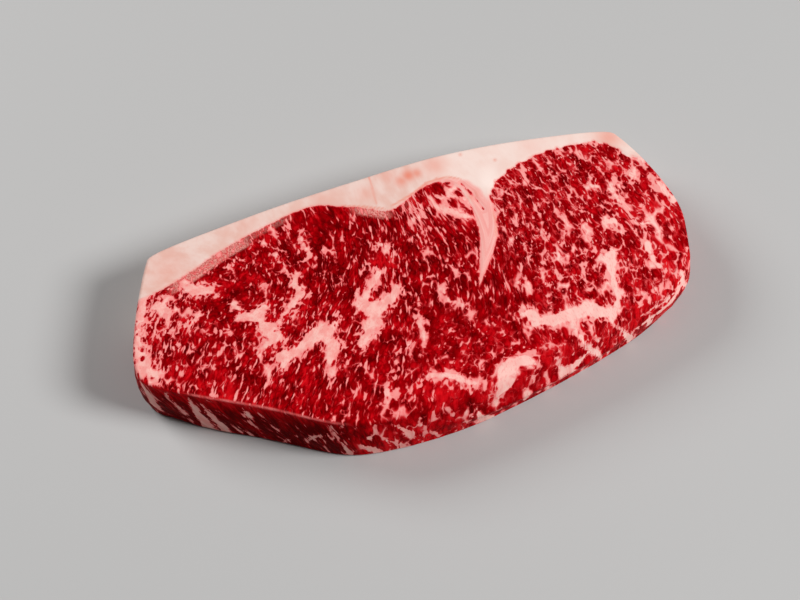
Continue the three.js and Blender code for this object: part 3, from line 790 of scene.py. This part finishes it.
# soft steps: the value where each begins and ends, and what it gives there if that isn't 0 and 1
ramps = {
    "lobeByIsland": (-3.0, 0.0, 0.0, 0.22), "fineByIsland": (-2.2, 0.0, 0.0, 0.25),
    "capMask": (-0.12, 0.16), "fatMask": (-0.05, 0.05), "fatOverLean": (-0.05, 0.07), "thickFat": (0.0, 0.34),
    "darkToMid": (-0.65, 0.35), "midToBright": (0.20, 1.15), "grit": (0.36, 0.60),
    "blushAtCap": (-0.7, 0.0, 0.0, 0.7), "blushAtFat": (-0.17, 0.0, 0.0, 0.70),
    "cloud": (0.35, 0.65), "pinkFibre": (0.5, 0.75, 0.0, 0.45),
    "capCloud": (0.38, 0.68), "pores": (0.5, 0.72, 0.0, 0.35), "capHighlight": (0.25, 0.9),
    "bands": (0.36, 0.66), "pinkBorder": (0.9, 0.1, 0.0, 0.45), "dome": (-0.7, 0.02, 1.0, 0.2),
}
# the share for the lip is the pink of its painted highlight; the share for stains also paints the crease
# shade lines
shares = {"whiteIslands": 0.65, "whiteCap": 0.5, "rimHighlight": 0.55, "rose": 0.9, "stainAndCreaseShade": 0.75}

# seamBands: how fast the seam's bands change across it and along it
finish = {
    "gritScale": 1.5, "seamBands": (1.3, 0.03),
    "bumpStrength": 0.7, "bumpDistance": 0.3, "streakHeight": 0.5, "fatHeights": (0.5, 0.2),
    "leanRough": 0.30, "fatRough": 0.42, "ior": 1.2, "specular": 0.02,
}


def paint(name):
    # sRGB 0..255 to linear: ((c + 0.055) / 1.055)^2.4, or c / 12.92 where c is dark
    c = np.array(colours[name]) / 255.0
    lin = np.where(c <= 0.04045, c / 12.92, ((c + 0.055) / 1.055) ** 2.4)
    return (*lin.tolist(), 1.0)


class Wire:
    # the value of one socket. Sums, differences and products with wires or numbers lay Math nodes
    def __init__(self, bench, socket):
        self.bench, self.socket = bench, socket

    def __add__(self, other):
        return self.bench.math("ADD", self, other)

    def __sub__(self, other):
        return self.bench.math("SUBTRACT", self, other)

    def __mul__(self, other):
        return self.bench.math("MULTIPLY", self, other)

    def ramp(self, name, kind="SMOOTHSTEP"):
        ends = zip(("From Min", "From Max", "To Min", "To Max"), (*ramps[name], 0.0, 1.0))
        return self.bench.add("ShaderNodeMapRange", {"Value": self, **dict(ends)}, interpolation_type=kind)


class NodeBench:
    # lays the nodes of one material. Inputs are wires, numbers or tuples, under the socket's name or place
    def __init__(self, name):
        self.material = bpy.data.materials.new(name)
        self.material.use_nodes = True
        self.tree = self.material.node_tree
        self.tree.nodes.clear()

    def node(self, kind, inputs, **settings):
        node = self.tree.nodes.new(kind)
        for key, value in settings.items():
            setattr(node, key, value)
        for key, value in inputs.items():
            if isinstance(value, Wire):
                self.tree.links.new(value.socket, node.inputs[key])
            else:
                node.inputs[key].default_value = value
        return node

    def add(self, kind, inputs, output=0, **settings):
        return Wire(self, self.node(kind, inputs, **settings).outputs[output])

    def math(self, operation, *values, clamp=False):
        return self.add("ShaderNodeMath", dict(enumerate(values)), operation=operation, use_clamp=clamp)

    def most(self, first, *others):
        for other in others:
            first = self.math("MAXIMUM", first, other)
        return first

    def vector(self, operation, a, b):
        return self.add("ShaderNodeVectorMath", {0: a, 1: b}, operation=operation)

    def parts(self, vector):
        return [Wire(self, socket) for socket in self.node("ShaderNodeSeparateXYZ", {0: vector}).outputs]

    def field(self, name):
        return self.add("ShaderNodeAttribute", {}, "Vector", attribute_name=name)

    def mix(self, share, a, b):
        # a colour: a where share is 0 and b where it is 1, as wires or names of colours
        a, b = (paint(item) if isinstance(item, str) else item for item in (a, b))
        return self.add("ShaderNodeMix", {0: share, 6: a, 7: b}, 2, data_type="RGBA")

    def blend(self, share, a, b):
        # a number: a where share is 0 and b where it is 1
        return self.add("ShaderNodeMix", {0: share, 2: a, 3: b}, data_type="FLOAT")

    def noise(self, place, scale=1.0, detail=2.0, output="Fac"):
        return self.add("ShaderNodeTexNoise", {"Vector": place, "Scale": scale, "Detail": detail}, output)

    def cells(self, place, size, feature="F1", output="Distance"):
        inputs = {"Vector": self.scaled(place, size), "Scale": 1.0}
        return self.add("ShaderNodeTexVoronoi", inputs, output, feature=feature)

    def scaled(self, place, name):
        # the place divided by the named size of a cell or wave
        return self.vector("MULTIPLY", place, tuple(1.0 / size for size in waves[name]))

    def wave(self, place, name, detail=1.0):
        return self.noise(self.scaled(place, name), detail=detail)

    def shaken(self, place, grainAt, name):
        # the place moved by a coloured noise of the named size, brought round zero
        shake = self.noise(self.scaled(grainAt, name), detail=1.0, output="Color")
        shake = self.vector("SUBTRACT", shake, (0.5, 0.5, 0.5))
        return self.vector("ADD", place, self.vector("MULTIPLY", shake, bendReach[name]))

    def surface(self, inputs):
        self.node("ShaderNodeOutputMaterial", {"Surface": self.add("ShaderNodeBsdfPrincipled", inputs)})
        return self.material


def centred(value, size):
    # noise brought round zero and scaled: (value - 0.5) * size
    return (value - 0.5) * size


def readFields(bench):
    # what each vertex carries, under its own name
    at = SimpleNamespace(grain=bench.field("grain"))
    at.cap, at.island, at.membrane = bench.parts(bench.field("fat"))
    at.marbling, at.tone, at.right = bench.parts(bench.field("meat"))
    # the second part of skin holds the painted crease shade, the stains and the lip's painted highlight
    at.rose, at.crease, at.wall = bench.parts(bench.field("skin"))
    return at


def addLobes(bench, at):
    # bundles of fibres in two sizes. The grain is bent a little first, so that no row of them runs straight
    at.bent = bench.shaken(bench.shaken(at.grain, at.grain, "bend"), at.grain, "smallBend")
    at.rightEdge = bench.cells(bench.shaken(at.bent, at.grain, "jag"), "rightLobe", "DISTANCE_TO_EDGE")
    at.lobe = bench.blend(at.right, bench.cells(at.bent, "leftLobe"), bench.cells(at.bent, "rightLobe"))
    at.fine = bench.blend(at.right, bench.cells(at.bent, "leftFine"), bench.cells(at.bent, "rightFine"))
    tints = [bench.cells(at.bent, size, output="Color") for size in ("leftLobe", "rightLobe")]
    at.tint, at.secondTint, _ = bench.parts(bench.mix(at.right, *tints))


def addNoises(bench, at):
    # the slow noises follow the grain itself, and the fine ones the bent grain
    at.swing, at.broad = (bench.wave(at.grain, name, 2.0) for name in ("swing", "broad"))
    at.fineSwing, at.cloud = bench.wave(at.grain, "fineSwing"), bench.wave(at.grain, "cloud", 3.0)
    at.leftFleck, at.rightFleck = bench.wave(at.bent, "leftFleck"), bench.wave(at.bent, "rightFleck")
    at.streak, at.fibre = bench.wave(at.bent, "streak"), bench.wave(at.bent, "fibre")


def addMarbling(bench, at):
    # "over" is above zero in fat: the most of five patterns, each the distance past the reach of the lean
    lobe, fine, fleck, net, island, cap = marbling.values()

    size = at.marbling * lobe["byMarbling"] + lobe["size"] - centred(at.swing, lobe["swing"])
    size = bench.most(size, lobe["least"]) + centred(at.secondTint, lobe["tint"])
    lobeOver = at.lobe - (size - at.island.ramp("lobeByIsland"))

    size = at.marbling * fine["byMarbling"] + fine["size"] - centred(at.fineSwing, fine["swing"])
    size = size - at.right * fine["right"] - at.island.ramp("fineByIsland")
    fineOver = bench.math("MINIMUM", at.fine - size, fine["most"])

    # bright flecks of fat strung along the fibres, shorter in the right muscle and fewer on the side
    fleckOver = centred(bench.blend(at.right, at.leftFleck, at.rightFleck), fleck["spread"])
    fleckOver = fleckOver + centred(at.marbling, fleck["byMarbling"])
    fleckOver = fleckOver - (at.right * fleck["right"] + fleck["less"]) - at.wall * fleck["wall"]
    fleckOver = bench.math("MINIMUM", fleckOver, fleck["most"])

    # thin net of fat between the lobes of the right muscle
    netOver = at.right * net["width"] - net["less"] - at.rightEdge
    netOver = bench.math("MINIMUM", netOver + centred(at.fineSwing, net["swing"]), net["most"])

    # islands: their edge is scalloped by the lobes of lean that push into it
    frayed = at.island + centred(bench.noise(at.bent, island["frayScale"], 1.0), island["fray"])
    (push, shift), (pushRight, shiftRight) = island["lobe"], island["right"]
    frayed = frayed + at.lobe * (at.right * pushRight + push) + (at.right * shiftRight + shift)
    push, shift = island["fine"]
    frayed = frayed + (at.fine * push + shift)
    frayed = frayed + at.wall * centred(at.rightFleck, island["wallFray"])
    at.over = bench.most(lobeOver, fineOver, fleckOver, netOver, frayed * island["soft"])

    capEdge = at.cap + centred(bench.noise(at.bent, cap["frayScale"]), cap["fray"])
    push, shift = cap["lobe"]
    at.capEdge = capEdge + at.right * (at.lobe * push + shift)
    at.capMask = at.capEdge.ramp("capMask")
    at.fatMask = bench.most(at.over.ramp("fatMask"), at.capMask)


def leanColour(bench, at):
    # dark and bright bundles with a soft streak along the fibres, painted shade at the edges of the small
    # bundles and on the walls, then the membrane and the lip with its painted highlight over them
    light = at.tone + centred(at.broad, leanLight["broad"]) + centred(at.streak, leanLight["streak"])
    light = light + centred(at.fibre, leanLight["fibre"]) + centred(at.tint, leanLight["tint"])
    # painted shade: the small bundles darker towards their edges, and the walls darker
    fine, shift = leanLight["fine"]
    light = light - (at.fine * fine + shift) - at.wall * leanLight["wall"]
    lean = bench.mix(light.ramp("darkToMid", "LINEAR"), "leanDark", "leanMid")
    lean = bench.mix(light.ramp("midToBright", "LINEAR"), lean, "leanBright")
    lean = bench.mix(at.capEdge.ramp("blushAtCap"), lean, "blush")
    grit = bench.noise(at.grain, finish["gritScale"]).ramp("grit")
    lean = bench.mix(at.membrane, lean, bench.mix(grit, "membraneDark", "membranePale"))
    # the lip's painted highlight along the front's upper left edge, in pink
    return bench.mix(at.crease * shares["rimHighlight"], lean, "pink")


def meatColour(bench, at):
    # lean with the fat of the marbling: thin fat lets the red through, and thick fat is pale
    pale = bench.mix(at.cloud.ramp("cloud"), "island", "islandPale")
    pale = bench.mix(at.right * shares["whiteIslands"], pale, "islandWhite")
    pale = bench.mix(at.fibre.ramp("pinkFibre"), pale, "pink")
    fat = bench.mix(at.over.ramp("thickFat"), "pink", pale)
    lean = bench.mix(at.over.ramp("blushAtFat"), leanColour(bench, at), "blush")
    return bench.mix(at.over.ramp("fatOverLean"), lean, fat)


def capColour(bench, at):
    # clouds and pores of the cap, whiter to the right, a painted highlight where the tone spots are high, the
    # banded seam, a pink border, and stains with the creases painted as shade lines
    shade = bench.mix(bench.wave(at.grain, "capCloud", 3.0).ramp("capCloud"), "cap", "capPink")
    shade = bench.mix(bench.wave(at.grain, "pores", 2.0).ramp("pores"), shade, "capPink")
    shade = bench.mix(at.right * shares["whiteCap"], shade, "capWhite")
    # painted highlight on the fat where the tone spots are high
    shade = bench.mix(at.tone.ramp("capHighlight"), shade, "capWhite")
    # the seam has faint bands along its length
    across, along = finish["seamBands"]
    place = bench.add("ShaderNodeCombineXYZ", {0: at.cap * across, 1: at.island * along, 2: at.tone})
    place = bench.vector("ADD", place, bench.scaled(at.grain, "seamDrift"))
    seam = bench.mix(bench.noise(place).ramp("bands"), "seamRed", "seam")
    shade = bench.mix(at.rose * shares["rose"], shade, seam)
    shade = bench.mix(at.capEdge.ramp("pinkBorder"), shade, "pink")
    # stains, and painted shade lines in the creases
    return bench.mix(bench.math("MULTIPLY", at.crease, shares["stainAndCreaseShade"], clamp=True), shade, "stainAndCreaseShade")


def beefMaterial():
    bench = NodeBench("marbledBeef")
    at = readFields(bench)
    addLobes(bench, at)
    addNoises(bench, at)
    addMarbling(bench, at)
    # lobes of lean are domed, and fat is nearly level
    dome = at.over.ramp("dome") + centred(at.streak, finish["streakHeight"])
    cloudHeight, fatHeight = finish["fatHeights"]
    height = bench.blend(at.fatMask, dome, at.cloud * cloudHeight + fatHeight)
    bumps = {"Strength": finish["bumpStrength"], "Distance": finish["bumpDistance"] * mm, "Height": height}
    return bench.surface({
        "Base Color": bench.mix(at.capMask, meatColour(bench, at), capColour(bench, at)),
        "Roughness": bench.blend(at.fatMask, finish["leanRough"], finish["fatRough"]),
        "IOR": finish["ior"], "Specular IOR Level": finish["specular"],
        "Normal": bench.add("ShaderNodeBump", bumps),
    })


beef = beefMaterial()
points, depth, wall, upperId, lowerId, ringIds = buildSlab()
fields = pieceFields(points[:, 0], points[:, 1], depth, wall)
faces = splitFaces(points, upperId, lowerId, ringIds)
addRelief(points, depth, wall, upperId, fields)
for nodeName, pieceName, slotName in (("lean", "marbledLean", "lean"), ("fat_cap", "fatCap", "fat")):
    piece = makePiece(pieceName, points, faces[nodeName], fields, beef)
    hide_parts(nodeName)
    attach(piece, "root")
    print(pieceName, "made:", len(piece.data.polygons), "faces")

# the camera's places are millimetres, and the floor's and the lights' are metres
stage = {
    "floorShade": (0.50, 0.495, 0.49), "floorRough": 0.7, "floorHalf": 3.0,
    "lookAt": (-5.084, 2.370, 12.5),
    "azimuth": -20.0, "elevation": 57.0, "distance": 726.3, "lens": 85.0, "sensor": 36.0, "clipEnd": 20.0,
    "keyPower": 51.0, "keyAt": (1.40, -0.98, 1.45), "keySize": 0.9,
    "fillPower": 13.0, "fillAt": (-0.8, 0.9, 0.9), "fillSize": 0.8,
    "lightsAim": (0, 0, 0.01),
    "worldLight": 0.06,
}


def makeFloor():
    # one square face, in metres
    half = stage["floorHalf"]
    mesh = bpy.data.meshes.new("floor")
    corners = [(-half, -half, 0), (half, -half, 0), (half, half, 0), (-half, half, 0)]
    mesh.from_pydata(corners, [], [(0, 1, 2, 3)])
    inputs = {"Base Color": (*stage["floorShade"], 1.0), "Roughness": stage["floorRough"]}
    mesh.materials.append(NodeBench("paleFloor").surface(inputs))
    floor = addObject("floor", mesh)


def makeLight(name, at, size, power):
    # a round area light that faces the steak
    lamp = bpy.data.lights.new(name, "AREA")
    lamp.shape = "DISK"
    lamp.size = size
    lamp.energy = power
    light = addObject(name, lamp)
    light.location = at
    light.rotation_euler = (Vector(stage["lightsAim"]) - Vector(at)).to_track_quat("-Z", "Y").to_euler()


def makeCamera():
    # stands back from lookAt by the distance, towards (sin a cos e, -cos a cos e, sin e)
    a, e = math.radians(stage["azimuth"]), math.radians(stage["elevation"])
    back = Vector((math.sin(a) * math.cos(e), -math.cos(a) * math.cos(e), math.sin(e)))
    lens = bpy.data.cameras.new("camera")
    lens.lens = stage["lens"]
    lens.sensor_width = stage["sensor"]
    lens.clip_end = stage["clipEnd"]
    camera = addObject("camera", lens)
    camera.location = (Vector(stage["lookAt"]) + back * stage["distance"]) * mm
    camera.rotation_euler = (-back).to_track_quat("-Z", "Y").to_euler()
    bpy.context.scene.camera = camera


makeFloor()
makeLight("keyLight", stage["keyAt"], stage["keySize"], stage["keyPower"])
makeLight("fillLight", stage["fillAt"], stage["fillSize"], stage["fillPower"])
world = bpy.data.worlds.new("studio")
world.use_nodes = True
background = world.node_tree.nodes["Background"]
background.inputs["Color"].default_value = (1, 1, 1, 1)
background.inputs["Strength"].default_value = stage["worldLight"]
bpy.context.scene.world = world
makeCamera()
bpy.context.scene.view_settings.view_transform = "Standard"
print("stage ready")
